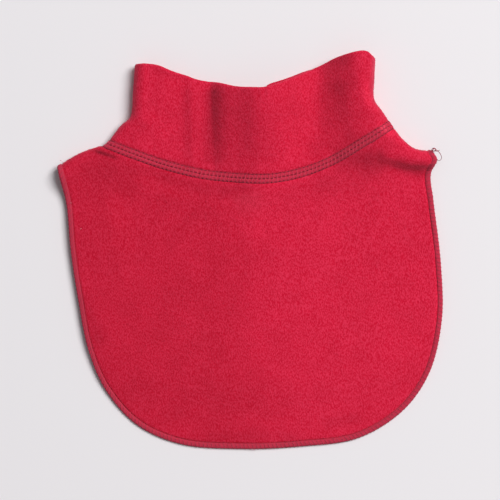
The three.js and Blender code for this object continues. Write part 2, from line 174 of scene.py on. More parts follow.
# Cloth, in millimetres
BIB_CLOTH = 2.0
COLLAR_CLOTH = 3.2
SEAM_CLOTH = 2.6
HEM_CLOTH = 2.6
SEAM_WIDTH = 6.4
HEM_WIDTH = 3.7
PLY_SLIT = 0.3
BAND_PLAY = 0.05

# Heights of the front's upper face above the table, in millimetres
COLLAR_HEIGHT = 20.0
SEAM_HEIGHT = 12.3
OVER_BACK_LOBE = 5.2

# How far from the seam the bib falls, and how far outside the back lobe it settles on the table
SEAM_FALL = 21
SETTLE_FROM = 5
SETTLE_TO = 42
# How far in from the side folds their rounding fades, how far past their ends folds and the painted shading
# fade, and how far beside a crease's line the cloth bends
FOLD_FADE = 10
FOLD_END = 14
PAINTED_SHADING_END = 4
CREASE_ROUND = 3
# The folds are whole above the first of these places on the bib, and gone below the second
FOLDS_WHOLE = 20
FOLDS_GONE = -30
# The levels over which the right edge turns from a plain fold into the roll
PLAIN_EDGE = 1.0
ROLLED_EDGE = 1.3

# The footprint's middle is the origin: the tables' own zero lies here
TABLE_ZERO = np.array([-1.125, 0.730, 0.0])


# Curves and lines

def hermite(a, b, slope_a, slope_b, t):
    """The cubic from a to b: a(2t³-3t²+1) + slope_a(t³-2t²+t) + b(3t²-2t³) + slope_b(t³-t²)."""
    square, cube = t * t, t * t * t
    rise = 3 * square - 2 * cube
    return a * (1 - rise) + slope_a * (cube - 2 * square + t) + b * rise + slope_b * (cube - square)


def smooth(start, end, x):
    """A step from 0 at start to 1 at end, by t²(3-2t)."""
    t = np.clip((x - start) / (end - start), 0, 1)
    return t * t * (3 - 2 * t)


def running_length(points):
    """How far along its chain each point is: the running sum of the steps' lengths."""
    step = np.linalg.norm(np.diff(points, axis=-2), axis=-1)
    return np.concatenate([np.zeros_like(step[..., :1]), np.cumsum(step, -1)], -1)


def read(points, far, distance):
    """Points at these distances along each chain, on the straight line between its two nearest points."""
    k = (far[..., None, :] <= distance[..., None]).sum(-1) - 1
    k = np.clip(k, 0, far.shape[-1] - 2)
    low = np.take_along_axis(far, k, -1)
    high = np.take_along_axis(far, k + 1, -1)
    t = ((distance - low) / (high - low))[..., None]
    a = np.take_along_axis(points, k[..., None], -2)
    b = np.take_along_axis(points, k[..., None] + 1, -2)
    return a + (b - a) * t


# Where an outline is read, as shares of its length, and into how many points a curve is cut to measure it
SHARES = np.linspace(0, 1, 241)
FINE = 1201


def spline(p, shares):
    """A smooth curve through points, read at these shares of its length.

    Each span is the cubic whose end slopes weigh the chords beside it by the square roots of their lengths.
    The first and the last chord are repeated beyond the ends.
    """
    p = np.vstack([2 * p[0] - p[1], p, 2 * p[-1] - p[-2]])
    root = np.linalg.norm(np.diff(p, axis=0), axis=1, keepdims=True) ** 0.5
    at = np.linspace(0, len(p) - 3, FINE)
    span = np.minimum(at.astype(int), len(p) - 4)
    p0, p1, p2, p3 = (p[span + k] for k in range(4))
    d0, d1, d2 = (root[span + k] for k in range(3))
    slope_a = d1 * ((p1 - p0) / d0 - (p2 - p0) / (d0 + d1) + (p2 - p1) / d1)
    slope_b = d1 * ((p2 - p1) / d1 - (p3 - p1) / (d1 + d2) + (p3 - p2) / d2)
    curve = hermite(p1, p2, slope_a, slope_b, (at - span)[:, None])
    far = running_length(curve)
    return read(curve, far, shares * far[-1])


def outline(rows):
    """The smooth curve through an outline's points, read at SHARES of its length."""
    return spline(np.stack([rows["x"], rows["y"]], -1), SHARES)


def section(rows, level):
    """All columns of a table at these levels, by the cubic through its rows."""
    known = rows["level"]
    k = np.clip(np.searchsorted(known[1:], level), 0, len(known) - 2)
    before, after = np.maximum(k - 1, 0), np.minimum(k + 2, len(known) - 1)
    span = known[k + 1] - known[k]
    t = (level - known[k]) / span
    found = {}
    for name, v in rows.items():
        slope_a = (v[k + 1] - v[before]) / (known[k + 1] - known[before]) * span
        slope_b = (v[after] - v[k]) / (known[after] - known[k]) * span
        found[name] = hermite(v[k], v[k + 1], slope_a, slope_b, t)
    return found


FRONT = [outline(rows) for rows in (MOUTH_FRONT, SEAM_FRONT, HEM_FRONT)]
BACK = [outline(rows) for rows in (MOUTH_BACK, SEAM_BACK, HEM_BACK)]
# Two far corners that close the back lobe's outline above the neck
BEYOND_LOBE = [[150.0, 150.0], [-150.0, 150.0]]


def inside_lobe(x, y):
    """How far a point is inside the back lobe, below zero outside it: the distance to the nearest side of
    the lobe's outline, with its sign from how often a line to the right crosses the outline."""
    a = np.vstack([BACK[2][::3], BEYOND_LOBE])
    b = np.roll(a, -1, 0)
    nearest = np.full(np.shape(x), np.inf)
    inside = np.zeros(np.shape(x), bool)
    for (ax, ay), (bx, by) in zip(a, b):
        dx, dy = bx - ax, by - ay
        t = np.clip(((x - ax) * dx + (y - ay) * dy) / (dx * dx + dy * dy), 0, 1)
        nearest = np.minimum(nearest, np.hypot(x - ax - t * dx, y - ay - t * dy))
        if dy:
            inside ^= ((ay > y) != (by > y)) & (x < ax + (y - ay) / dy * dx)
    return np.where(inside, nearest, -nearest)


def fold_heights(folds, x, y, end=FOLD_END):
    """The sum of the folds: each is h along its line, times exp(-(beside/width)²) across it and past its
    ends, where the width is end. Right of a crease it is exp(-(√(beside²+r²)-r)/width) instead, where r
    is how far the cloth bends."""
    total = np.zeros(np.shape(x))
    for x1, y1, h1, x2, y2, h2, left, right, crease in zip(*folds.values()):
        dx, dy = x2 - x1, y2 - y1
        length = np.hypot(dx, dy)
        free = ((x - x1) * dx + (y - y1) * dy) / length**2
        t = np.clip(free, 0, 1)
        past = (free - t) * length / end
        beside = ((x - x1) * -dy + (y - y1) * dx) / length
        width = np.where(beside > 0, right, left)
        creased = (np.hypot(beside, CREASE_ROUND) - CREASE_ROUND) / width
        fade = np.where((beside > 0) & (crease > 0), creased, (beside / width) ** 2)
        total += (h1 + (h2 - h1) * t) * np.exp(-(past**2) - fade)
    return total


def front_height(x, y, level, from_seam):
    """The front's upper face: the collar's height falls to the seam's, and the bib falls from the seam
    onto the back lobe or, beyond that, onto the table, with the folds added."""
    folds = fold_heights(FOLDS, x, y)
    if np.all(level <= 1):
        return COLLAR_HEIGHT + (SEAM_HEIGHT - COLLAR_HEIGHT) * smooth(0.1, 1, level) + folds
    on_lobe = smooth(-SETTLE_TO, -SETTLE_FROM, inside_lobe(x, y))
    lobe = BIB_CLOTH + (OVER_BACK_LOBE - BIB_CLOTH) * on_lobe
    fall = np.exp(-((from_seam / SEAM_FALL) ** 2))
    return lobe + (SEAM_HEIGHT - OVER_BACK_LOBE) * fall + folds * smooth(FOLDS_GONE, FOLDS_WHOLE, y)


def right_edge(right, level, turn, bib_height):
    """The right front edge in section, at a turn from 0, the fold's edge, to 1: a quarter round on the
    collar that blends into the roll on the shoulder."""
    roll = section(ROLL, turn)
    rolled = smooth(PLAIN_EDGE, ROLLED_EDGE, level)
    foot = right["edge"] + (bib_height - right["edge"]) * roll["outer"]
    roll_height = foot + (right["top"] - foot) * roll["up"]
    round_out = 1 - np.cos(turn * np.pi / 2)
    round_height = right["edge"] + (right["top"] - right["edge"]) * np.sin(turn * np.pi / 2)
    out = right["reach"] * (round_out + (roll["out"] - round_out) * rolled)
    return out, round_height + (roll_height - round_height) * rolled


def painted_shading_at(points, front):
    """How much darker each point of the sections is painted, as painted shade, or below zero how much
    lighter, as a painted highlight, on the front only.
    """
    x, y = np.moveaxis(points[..., :2] - TABLE_ZERO[:2], -1, 0)
    return fold_heights(PAINTED_SHADING, x, y, PAINTED_SHADING_END) * smooth(0.4, 0.9, front)[:, None]


class Side:
    """The lines across the front or the back of one half of the cloth, one for each level: the two outlines
    mixed, then drawn to the side folds by (1-f)⁴ and f⁴ of the gap at either end."""

    def __init__(self, outlines, half, shares, left, right):
        plain = outlines[half] + (outlines[half + 1] - outlines[half]) * shares[:, None, None]
        to_left = np.stack([left["x"], left["y"]], -1) - plain[:, :1]
        to_right = np.stack([right["x"], right["y"]], -1) - plain[:, -1:]
        f = SHARES[:, None]
        self.points = plain + (1 - f) ** 4 * to_left + f**4 * to_right
        self.far = running_length(self.points)
        self.length = self.far[:, -1:]

    def at(self, distance):
        """Points at these distances from the left end, one row of them for each line."""
        return read(self.points, self.far, distance)


def rings(half, shares, count):
    """Rings of points round the cloth, with how much each station belongs to the front.

    A ring is the left fold's upper quarter round, the front, the right edge, the right fold's lower
    quarter round, the back and the left fold's lower quarter round. A quarter round is reach(1-cos turn)
    in from the fold's edge and (top-edge) sin turn above it.
    """
    level = (half + shares)[:, None]
    left, right = section(LEFT_FOLD, level), section(RIGHT_FOLD, level)
    front = Side(FRONT, half, shares, left, right)
    back = Side(BACK, half, shares, left, right)
    parts = []

    def put(side, distance, height, frontness):
        distance = distance + np.zeros_like(level)
        height = height + np.zeros_like(distance)
        belongs = np.broadcast_to(frontness, distance.shape[1:])
        parts.append((np.concatenate([side.at(distance), height[..., None]], -1), belongs))

    def plain_height(distance):
        p = front.at(distance)
        share = distance / front.length
        seam = np.stack([np.interp(share, SHARES, FRONT[1][:, axis]) for axis in (0, 1)], -1)
        from_seam = np.linalg.norm(p - seam, axis=-1)
        return front_height(p[..., 0], p[..., 1], level, from_seam)

    quarter = np.linspace(0, 1, count["fold"], endpoint=False)
    turn = quarter * np.pi / 2
    rise = left["top"] - left["edge"]
    put(front, left["reach"] * (1 - np.cos(turn)), left["edge"] + rise * np.sin(turn), 0.5 + 0.5 * quarter)

    last_out, _ = right_edge(right, level, np.ones(1), 0)
    bib_height = plain_height(front.length - last_out)
    span = front.length - left["reach"] - last_out
    left_step = left["top"] - plain_height(left["reach"])
    right_step = right_edge(right, level, np.ones(1), bib_height)[1] - bib_height
    along = span * np.linspace(0, 1, count["front"], endpoint=False)
    height = plain_height(left["reach"] + along)
    height = height + left_step * np.exp(-((along / FOLD_FADE) ** 2))
    height = height + right_step * np.exp(-(((span - along) / FOLD_FADE) ** 2))
    put(front, left["reach"] + along, height, 1.0)

    turn = np.linspace(1, 0, count["roll"], endpoint=False)
    out, height = right_edge(right, level, turn, bib_height)
    put(front, front.length - out, height, 0.5 + 0.5 * turn)

    turn = quarter * np.pi / 2
    put(back, back.length - right["under"] * (1 - np.cos(turn)), right["edge"] * (1 - np.sin(turn)),
        0.5 - 0.5 * quarter)
    share = np.linspace(0, 1, count["back"])
    inner = back.length - right["under"]
    put(back, inner + (left["under"] - inner) * share, 0.0, 0.0)
    quarter = np.linspace(1, 0, count["fold"] + 1)[1:-1]
    turn = quarter * np.pi / 2
    put(back, left["under"] * (1 - np.cos(turn)), left["edge"] * (1 - np.sin(turn)), 0.5 - 0.5 * quarter)

    ring = np.concatenate([p for p, _ in parts], 1) + TABLE_ZERO
    return ring, np.concatenate([f for _, f in parts])


class Cloth:
    """The cloth's outer face as lines down it, one for each station, read by the distance from the neck
    seam's middle: below zero on the collar, above it on the bib.

    count is how many stations each part of a ring has. collar and bib are the first level, the last one and
    how many, so that a cloth can hold only the levels near the neck seam or the hem. The collar's last
    level is just above the seam's, which is the bib's first.
    """

    LAST_COLLAR_LEVEL = 0.99999

    def __init__(self, count, collar=(0.0, 1.0, 61), bib=(0.0, 1.0, 91)):
        upper, self.front = rings(0, np.minimum(np.linspace(*collar), self.LAST_COLLAR_LEVEL), count)
        lower, _ = rings(1, np.linspace(*bib), count)
        self.upper, self.lower = upper.swapaxes(0, 1)[:, ::-1], lower.swapaxes(0, 1)
        self.upper_far, self.lower_far = running_length(self.upper), running_length(self.lower)
        self.collar_length, self.bib_length = self.upper_far[:, -1:], self.lower_far[:, -1:]

    def at(self, distance):
        """Points at these distances, one row of them for each station."""
        above = read(self.upper, self.upper_far, np.maximum(-distance, 0))
        below = read(self.lower, self.lower_far, np.maximum(distance, 0))
        return np.where(distance[..., None] < 0, above, below)

    def face(self, distance, step=0.5):
        """Points and outward directions: the slope down the cloth, over two steps, crossed with the slope
        round it."""
        p = self.at(distance)
        down = self.at(distance + step) - self.at(distance - step)
        around = np.roll(p, -1, 0) - np.roll(p, 1, 0)
        return p, unit(np.cross(down, around))

    def slant(self, distance):
        """How much longer a width across a seam gets along lines that cross the seam at a slant."""
        p = self.at(distance)
        down = unit(self.at(distance + 1) - self.at(distance - 1))
        around = unit(np.roll(p, -1, 0) - np.roll(p, 1, 0))
        return 1 / np.maximum(np.linalg.norm(np.cross(down, around), axis=-1), 0.5)


def unit(v):
    """Vectors of length 1 in these directions: v/|v|."""
    return v / np.linalg.norm(v, axis=-1, keepdims=True)


# Cells of the lumps' grid along each axis, after which it repeats
LUMP_CELLS = 32


def lumps(points, cell, seed):
    """Smooth random heights from -1 to 1: a seeded value at every corner of a grid of cells, mixed by
    3t²-2t³ along each axis in between."""
    values = np.random.default_rng(seed).uniform(-1, 1, (LUMP_CELLS,) * 3)
    q = points / cell
    low = np.floor(q).astype(int)
    t = smooth(0, 1, q - low)
    total = 0
    for corner in np.ndindex(2, 2, 2):
        weight = np.where(np.array(corner, bool), t, 1 - t).prod(-1)
        cells = np.moveaxis((low + corner) % LUMP_CELLS, -1, 0)
        total = total + weight * values[tuple(cells)]
    return total


class Band:
    """A ring of closed sections read by the stitch number along it and by the place in the section, so that
    threads can be laid on it. shown is how much of their height threads keep: all of it on the front."""

    def __init__(self, sections, phase, shown):
        closed = np.concatenate([sections, sections[:1]])
        padded = np.concatenate([sections[-1:], closed, sections[1:2]])
        around = padded[2:] - padded[:-2]
        outward = unit(np.cross(np.gradient(closed, axis=1), around))
        kept = np.append(shown, shown[0])[:, None, None] + closed[..., :1] * 0
        self.grid = np.concatenate([closed, outward, kept], -1)
        self.phase = phase
        self.stitches = round(phase[-1])

    def at(self, stitch, place, height):
        """Points at a stitch number and a place in the section, lifted by height in millimetres."""
        stitch, place, height = np.broadcast_arrays(np.asarray(stitch) % self.stitches, place, height)
        i = np.clip(np.searchsorted(self.phase, stitch, side="right") - 1, 0, len(self.phase) - 2)
        k = np.clip(place.astype(int), 0, self.grid.shape[1] - 2)
        t = ((stitch - self.phase[i]) / (self.phase[i + 1] - self.phase[i]))[..., None]
        s = (place - k)[..., None]
        near = self.grid[i, k] + (self.grid[i, k + 1] - self.grid[i, k]) * s
        far = self.grid[i + 1, k] + (self.grid[i + 1, k + 1] - self.grid[i + 1, k]) * s
        found = near + (far - near) * t
        return found[..., :3] + unit(found[..., 3:6]) * height[..., None] * found[..., 6:]


# Meshes

def skin(sections):
    """Four-sided faces that join a ring of closed sections."""
    stations, side = sections.shape[:2]
    i, k = np.meshgrid(np.arange(stations), np.arange(side), indexing="ij")
    around = np.stack([i, i, i + 1, i + 1], -1).reshape(-1, 4)
    down = np.stack([k, k + 1, k + 1, k], -1).reshape(-1, 4)
    return (around % stations) * side + down % side


def mesh_piece(name, points, face_lists, material, uv=None, painted_shading=None):
    """A mesh object at the origin, from points in millimetres and lists of faces, each list with equally
    many corners a face. uv has a row for each corner, and the painted shading a value for each point."""
    mesh = bpy.data.meshes.new(name)
    corners = np.concatenate([faces.ravel() for faces in face_lists])
    sizes = np.concatenate([np.full(len(faces), faces.shape[1]) for faces in face_lists])
    mesh.vertices.add(len(points))
    mesh.vertices.foreach_set("co", (np.asarray(points) * MM).astype(np.float32).ravel())
    mesh.loops.add(len(corners))
    mesh.loops.foreach_set("vertex_index", corners.astype(np.int32))
    mesh.polygons.add(len(sizes))
    mesh.polygons.foreach_set("loop_start", (np.cumsum(sizes) - sizes).astype(np.int32))
    mesh.update(calc_edges=True)
    mesh.validate()
    mesh.shade_smooth()
    if uv is not None:
        layer = mesh.uv_layers.new(name="UVMap")
        layer.data.foreach_set("uv", uv.astype(np.float32).ravel())
    if painted_shading is not None:
        layer = mesh.attributes.new("painted_shading", "FLOAT", "POINT")
        layer.data.foreach_set("value", painted_shading.astype(np.float32).ravel())
    mesh.materials.append(material)
    piece = bpy.data.objects.new(name, mesh)
    bpy.context.scene.collection.objects.link(piece)
    return piece


def fleece_piece(name, sections, cloth, material):
    """A piece of fleece from a ring of closed sections, with its painted shading."""
    points = sections.reshape(-1, 3)
    return mesh_piece(name, points, [skin(sections)], material, painted_shading=painted_shading_at(sections, cloth.front))


def above_table(points, least):
    """The points with their height at least this much."""
    return np.concatenate([points[..., :2], np.maximum(points[..., 2:], least)], -1)


# A direction that no thread follows, used to turn threads' sections, and their least gap to the table
NO_THREAD = (0.13, 0.21, 0.97)
TABLE_GAP = 0.02


def tubes(name, paths, radius, sides, material):
    """Round threads along many lines of equally many points, closed at both ends.

    Each point gets a ring: point + radius(cos a · side + sin a · over), where side is the line's direction
    crossed with NO_THREAD, and over is side crossed with the direction.
    """
    paths = above_table(paths, np.max(radius) + TABLE_GAP)
    along = unit(np.gradient(paths, axis=1))
    side = unit(np.cross(along, NO_THREAD))
    over = np.cross(side, along)
    a = np.arange(sides) * 2 * np.pi / sides
    radius = np.broadcast_to(radius, paths.shape[:2])[..., None, None]
    ring = side[:, :, None] * np.cos(a)[:, None] + over[:, :, None] * np.sin(a)[:, None]
    points = (paths[:, :, None] + radius * ring).reshape(-1, 3)
    number, length = paths.shape[:2]
    n, m, s = np.meshgrid(np.arange(number), np.arange(length - 1), np.arange(sides), indexing="ij")
    here = (n * length + m) * sides
    there = here + sides
    after = (s + 1) % sides
    quads = np.stack([here + s, here + after, there + after, there + s], -1).reshape(-1, 4)
    start = (np.arange(number) * length * sides)[:, None] + np.arange(sides)
    end = start + (length - 1) * sides
    loops = quads.size + start.size * 2
    share = np.stack([m, m, m + 1, m + 1], -1).reshape(-1, 4) / (length - 1)
    around = np.stack([s, s + 1, s + 1, s], -1).reshape(-1, 4) / sides
    uv = np.zeros((loops, 2))
    uv[: quads.size] = np.stack([share, around], -1).reshape(-1, 2)
    return mesh_piece(name, points, [quads, start[:, ::-1], end], material, uv)


# Materials

class Socket:
    """One output of a material's nodes. Arithmetic on it adds Math nodes."""

    def __init__(self, nodes, link):
        self.nodes, self.link = nodes, link

    def math(self, operation, *values):
        """A Math node with this operation on values or links."""
        return self.nodes.add("ShaderNodeMath", {"operation": operation}, dict(enumerate(values)))

    def __add__(self, other):
        return self.math("ADD", self, other)

    __radd__ = __add__

    def __mul__(self, other):
        return self.math("MULTIPLY", self, other)

    __rmul__ = __mul__

    def __sub__(self, other):
        return self.math("SUBTRACT", self, other)

    def __rsub__(self, other):
        return self.math("SUBTRACT", other, self)

    def __truediv__(self, other):
        return self.math("DIVIDE", self, other)

    def __pow__(self, other):
        return self.math("POWER", self, other)

    def step(self, start, end):
        """0 below start and 1 above end, smooth between them."""
        values = {"Value": self, "From Min": start, "From Max": end}
        return self.nodes.add("ShaderNodeMapRange", {"interpolation_type": "SMOOTHSTEP"}, values)

    def cosine(self):
        """Its cosine, in radians."""
        return self.math("COSINE", self)


class Nodes:
    """A new material, or a world's nodes made anew, with one way to add any node."""

    def __init__(self, name, tree=None):
        if tree is None:
            self.material = bpy.data.materials.new(name)
            self.material.use_nodes = True
            tree = self.material.node_tree
        self.tree = tree
        self.tree.nodes.clear()

    def add(self, kind, settings=(), values=(), out=0):
        """A node of this kind. Its settings are set first, then its sockets, by name or number, to values
        or links."""
        node = self.tree.nodes.new(kind)
        for name, value in dict(settings).items():
            setattr(node, name, value)
        for name, value in dict(values).items():
            if isinstance(value, Socket):
                self.tree.links.new(value.link, node.inputs[name])
            else:
                node.inputs[name].default_value = value
        return Socket(self, node.outputs[out])

    def mix(self, factor, a, b, blend="MIX"):
        """Two colours mixed, each a colour or a link."""
        a, b = (value if isinstance(value, Socket) else (*value, 1) for value in (a, b))
        settings = {"data_type": "RGBA", "blend_type": blend}
        return self.add("ShaderNodeMix", settings, {0: factor, 6: a, 7: b}, out=2)

    def noise(self, place, scale, detail=2.0, roughness=0.5, distortion=0.0):
        """Smooth random values from 0 to 1."""
        values = {"Vector": place, "Scale": scale, "Detail": detail}
        values |= {"Roughness": roughness, "Distortion": distortion}
        return self.add("ShaderNodeTexNoise", {}, values)

    def finish(self, colour, roughness, sheen, sheen_tint, height=None, depth=0.0, glow=None):
        """The Principled surface with a Bump node for its normal."""
        values = {"Base Color": colour, "Roughness": roughness, "Specular IOR Level": 0.2}
        values |= {"Sheen Weight": sheen, "Sheen Roughness": 0.5, "Sheen Tint": (*sheen_tint, 1)}
        if height is not None:
            bump = {"Strength": 1.0, "Distance": depth, "Height": height}
            values["Normal"] = self.add("ShaderNodeBump", {}, bump)
        if glow is not None:
            values |= {"Emission Color": glow, "Emission Strength": 1.0}
        surface = self.add("ShaderNodeBsdfPrincipled", {}, values)
        self.add_output("ShaderNodeOutputMaterial", surface)
        return self.material

    def finish_world(self, colour, strength):
        """The light from all round, in this colour."""
        light = self.add("ShaderNodeBackground", {}, {"Color": colour, "Strength": strength})
        self.add_output("ShaderNodeOutputWorld", light)

    def add_output(self, kind, surface):
        """The node that ends the material or world."""
        output = self.tree.nodes.new(kind)
        self.tree.links.new(surface.link, output.inputs["Surface"])


def fleece(name, look, brushed=0.0, stitched=0.0):
    """Brushed fleece: short slanting tufts of pile and a slow change of tone, with sheen. brushed is how
    much lighter the bib is painted right of the middle, painted light where its pile lies the other way,
    and stitched how much thread covers it. Each point's painted shading darkens it as painted shade, or
    below zero lightens it as a painted highlight."""
    nodes = Nodes(name)
    place = nodes.add("ShaderNodeTexCoord", out="Object")
    slant = {"Vector": place, "Rotation": (0.0, 0.0, 0.2), "Scale": (1.0, 0.5, 1.0)}
    combed = nodes.add("ShaderNodeMapping", {}, slant)
    tufts = nodes.noise(combed, 1.0 / look.tuft, 1.0, 0.6, 0.3)
    patches = nodes.noise(place, 60.0, 3.0, 0.6)
    tone = (patches - 0.5) * look.mottle + 0.5
    # Painted light: the bib is painted lighter right of the middle, where its pile lies the other way
    if brushed:
        across = nodes.add("ShaderNodeSeparateXYZ", {}, {0: place}, out="X")
        side = across + (nodes.noise(place, 14.0, 1.0) - 0.5) * 0.05
        tone = tone + (side.step(-0.03, 0.04) - 0.7) * brushed
    colour = nodes.mix(tone.step(0.0, 1.0), look.shade, look.light)
    fibre = ((tufts - 0.5) * look.grain + 0.5).step(0.0, 1.0)
    colour = nodes.mix(1.0, colour, nodes.mix(fibre, look.fibre_shade, look.fibre_light), "MULTIPLY")
    if stitched:
        colour = nodes.mix(stitched, colour, look.band)
    # Painted shading: painted shade darkens the colour, and below zero a painted highlight lightens it and
    # mixes it towards pale pink
    painted_shading = nodes.add("ShaderNodeAttribute", {"attribute_name": "painted_shading"}, out="Fac")
    colour = nodes.add("ShaderNodeVectorMath", {"operation": "SCALE"}, {0: colour, "Scale": 1 - painted_shading})
    colour = nodes.mix((0 - painted_shading).step(0.12, 0.8), colour, look.pale)
    return nodes.finish(colour, 0.95, look.sheen, look.sheen_tint, tufts, look.pile_depth)


# How often a thread's ply turns round it from one hole to the next
TWISTS = 5


def thread(name, look, colour, painted_shade_colour):
    """Spun thread: a slanting twist along its length, with painted shade at its ends, where it enters the
    cloth at the needle holes, and a little in the twist's grooves.
    """
    nodes = Nodes(name)
    uv = nodes.add("ShaderNodeTexCoord", out="UV")
    along = nodes.add("ShaderNodeSeparateXYZ", {}, {0: uv}, out="X")
    around = nodes.add("ShaderNodeSeparateXYZ", {}, {0: uv}, out="Y")
    twist = ((along * TWISTS + around) * 2 * np.pi).cosine() * 0.5 + 0.5
    # Painted shade at both ends of each stitch, where the thread dips into its needle hole
    ends = ((along * 2 * np.pi).cosine() * 0.5 + 0.5).step(0.15, 0.85)
    tint = nodes.mix(ends * 0.85 + twist * 0.15, colour, painted_shade_colour)
    return nodes.finish(tint, 0.8, 0.12, look.sheen_tint, twist, 0.00005)


# Where the softbox hangs, the spot it is turned to, and the tone in which floor and sky meet
SOFTBOX = (1.75, 1.35, 3.45)
SOFTBOX_AIM = (0.0, -2.0, 0.0)
HORIZON = (0.60, 0.59, 0.605)


def backdrop(name, colour):
    """A matt floor. Far out it glows by as much as the softbox's light falls off there, 1-(h²/(h²+r²))²
    with the softbox's height h, so that it meets the sky in one tone."""
    nodes = Nodes(name)
    place = nodes.add("ShaderNodeTexCoord", out="Object")
    far = nodes.add("ShaderNodeVectorMath", {"operation": "LENGTH"}, {0: place}, out="Value")
    lost = 1 - ((far / SOFTBOX[2]) ** 2 + 1) ** -2
    glow = nodes.mix(lost, (0.0, 0.0, 0.0), HORIZON)
    return nodes.finish((*colour, 1), 0.9, 0.0, (1.0, 1.0, 1.0), glow=glow)


# Sizes and colours that a user would change

class NECKWARMER_PG_cloth(bpy.types.PropertyGroup):
    """Sizes of the cloth's fine forms."""

    pile: FloatProperty(
        name="Pile", description="Height of the pile's lumps", default=0.00012, unit="LENGTH",
        precision=5)
    groove: FloatProperty(
        name="Groove", description="Depth to which the cloth is drawn down along a row of stitches",
        default=0.0003, unit="LENGTH", precision=5)
    slack: FloatProperty(
        name="Slack", description="Height of the bib's slow waves", default=0.0005, unit="LENGTH",
        precision=5)


class NECKWARMER_PG_look(bpy.types.PropertyGroup):
    """Colours and finish of the fleece and the threads."""

    light: FloatVectorProperty(
        name="Light", description="Fleece on top of the pile", subtype="COLOR",
        default=(0.88, 0.032, 0.096))
    shade: FloatVectorProperty(
        name="Shade", description="Fleece deep in the pile", subtype="COLOR",
        default=(0.50, 0.012, 0.040))
    thread: FloatVectorProperty(
        name="Thread", description="Sewing thread", subtype="COLOR", default=(0.38, 0.024, 0.052))
    band: FloatVectorProperty(
        name="Band", description="Fleece under the threads of a seam", subtype="COLOR",
        default=(0.42, 0.034, 0.067))
    # The painted shade of the threads at their needle holes and in their twist
    thread_shade: FloatVectorProperty(
        name="Thread shade", description="Sewing thread in its twist", subtype="COLOR",
        default=(0.12, 0.006, 0.016))
    looper: FloatVectorProperty(
        name="Looper", description="The bulkier thread across the seams", subtype="COLOR",
        default=(0.58, 0.042, 0.084))
    sheen_tint: FloatVectorProperty(
        name="Sheen tint", description="Colour of the fuzz at a low angle", subtype="COLOR",
        default=(1.0, 0.35, 0.52))
    sheen: FloatProperty(
        name="Sheen", description="How much the fuzz shows at a low angle", default=0.28, min=0, max=1)
    tuft: FloatProperty(
        name="Tuft", description="Size of the pile's tufts", default=0.00072, unit="LENGTH", precision=5)
    grain: FloatProperty(name="Grain", description="Contrast of the tufts", default=3.0)
    fibre_light: FloatVectorProperty(
        name="Fibre light", description="Tint of the tufts' tips", subtype="COLOR",
        default=(0.97, 1.0, 0.97))
    fibre_shade: FloatVectorProperty(
        name="Fibre shade", description="Tint between the tufts", subtype="COLOR",
        default=(0.77, 0.06, 0.36))
    # Pale is a painted highlight: the pale pink towards which the fleece is mixed where its painted shading
    # is below zero
    pale: FloatVectorProperty(
        name="Pale", description="Fleece rubbed up to the light", subtype="COLOR",
        default=(0.85, 0.12, 0.20))
    lint: FloatVectorProperty(
        name="Lint", description="Colour of the lint", subtype="COLOR", default=(0.85, 0.40, 0.48))
    fibre: FloatProperty(
        name="Fibre", description="Half the thickness of a single fibre", default=0.00004,
        unit="LENGTH", precision=5)
    mottle: FloatProperty(
        name="Mottle", description="How much the tone changes slowly over the pile", default=0.3)
    # Painted light: how much lighter the bib is painted right of the middle, where its pile lies the other
    # way
    brushed: FloatProperty(
        name="Brushed", description="How much lighter the bib's pile is right of the middle",
        default=0.17)
    pile_depth: FloatProperty(
        name="Pile depth", description="Depth of the pile in the finish", default=0.0003, unit="LENGTH",
        precision=5)


class NECKWARMER_PG_stitch(bpy.types.PropertyGroup):
    """Sizes of the stitching."""

    pitch: FloatProperty(
        name="Pitch", description="Length of one stitch", default=0.00272, unit="LENGTH", precision=5)
    radius: FloatProperty(
        name="Thread radius", description="Half the needle thread's thickness", default=0.0002,
        unit="LENGTH", precision=5)
    looper: FloatProperty(
        name="Looper radius", description="Half the thickness of the threads across a seam",
        default=0.0003, unit="LENGTH", precision=5)
    sides: IntProperty(name="Thread sides", description="Sides of a thread's section", default=6, min=4)


class NECKWARMER_PG_stage(bpy.types.PropertyGroup):
    """Floor, lights and camera."""

    floor: FloatVectorProperty(
        name="Floor", description="Colour of the floor", subtype="COLOR", default=(0.80, 0.784, 0.806))
    key: FloatProperty(name="Key", description="Power of the softbox, in watts", default=186.0)
    key_size: FloatProperty(
        name="Key size", description="Width of the softbox", default=2.5, unit="LENGTH")
    fill: FloatProperty(name="Fill", description="Strength of the light from all round", default=0.21)
    height: FloatProperty(
        name="Camera height", description="Height of the camera above the floor", default=2.4,
        unit="LENGTH")
    frame_width: FloatProperty(
        name="Frame width", description="Width of what the camera sees", default=0.33333, unit="LENGTH")


# Pieces

# How far beside a seam's middle or the hem's edge the cloth's slant is measured
BESIDE = 3.0


def groove(distance, width=1.1):
    """How far the cloth is drawn in beside a row of stitches: exp(-(distance/width)²)."""
    return np.exp(-((distance / width) ** 2))


def half_round(outer, inner, end, steps):
    """Points round an edge of the cloth from its outer to its inner face: middle + up cos a + end sin a,
    where end points out of the edge."""
    middle = (outer + inner) / 2
    up = outer - middle
    a = np.linspace(0, np.pi, steps + 2)[1:-1, None]
    return middle[:, None] + up[:, None] * np.cos(a) + end[:, None] * np.sin(a)


def closed_strip(p, n, thickness, lift, rim_steps=0):
    """Closed sections of a strip of cloth with points p and outward directions n: the outer face moved out
    by lift, then the inner face back again. With rim_steps, the last edge is a half round between them."""
    outer = p + n * lift[..., None]
    inner = p - n * thickness
    end = unit(p[:, -1] - p[:, -2]) * thickness / 2
    rim = half_round(outer[:, -1], inner[:, -1], end, rim_steps)
    return above_table(np.concatenate([outer, rim, inner[:, ::-1]], 1), 0.0)


